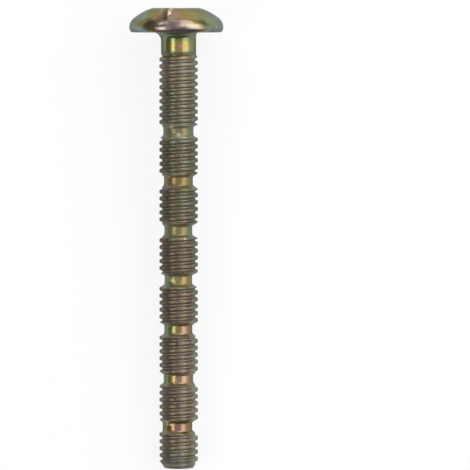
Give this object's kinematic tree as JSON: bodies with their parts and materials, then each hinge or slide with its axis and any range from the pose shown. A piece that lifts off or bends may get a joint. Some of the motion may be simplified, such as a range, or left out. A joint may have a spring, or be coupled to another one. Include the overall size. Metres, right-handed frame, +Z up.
{
  "type": "break-off screw",
  "caption": "Machine screw with a low domed head, slot and cross recess, its threaded shank necked at even steps so that the end can be snapped off to length.",
  "frame": {"origin": "middle of the lying screw's box, on the surface that it lies on", "axes": "+Y along the lying screw from tip to head, +Z up; the screw's own axis rises 3.67 degrees towards the head, because the head is wider than the thread"},
  "size_m": [0.0095, 0.0466, 0.0095],
  "materials": {
    "plated_steel": "yellow passivated zinc plate, glossy, with pink and green tints"
  },
  "bodies": {
    "root": {"screw": "plated_steel"}
  },
  "joints": []
}
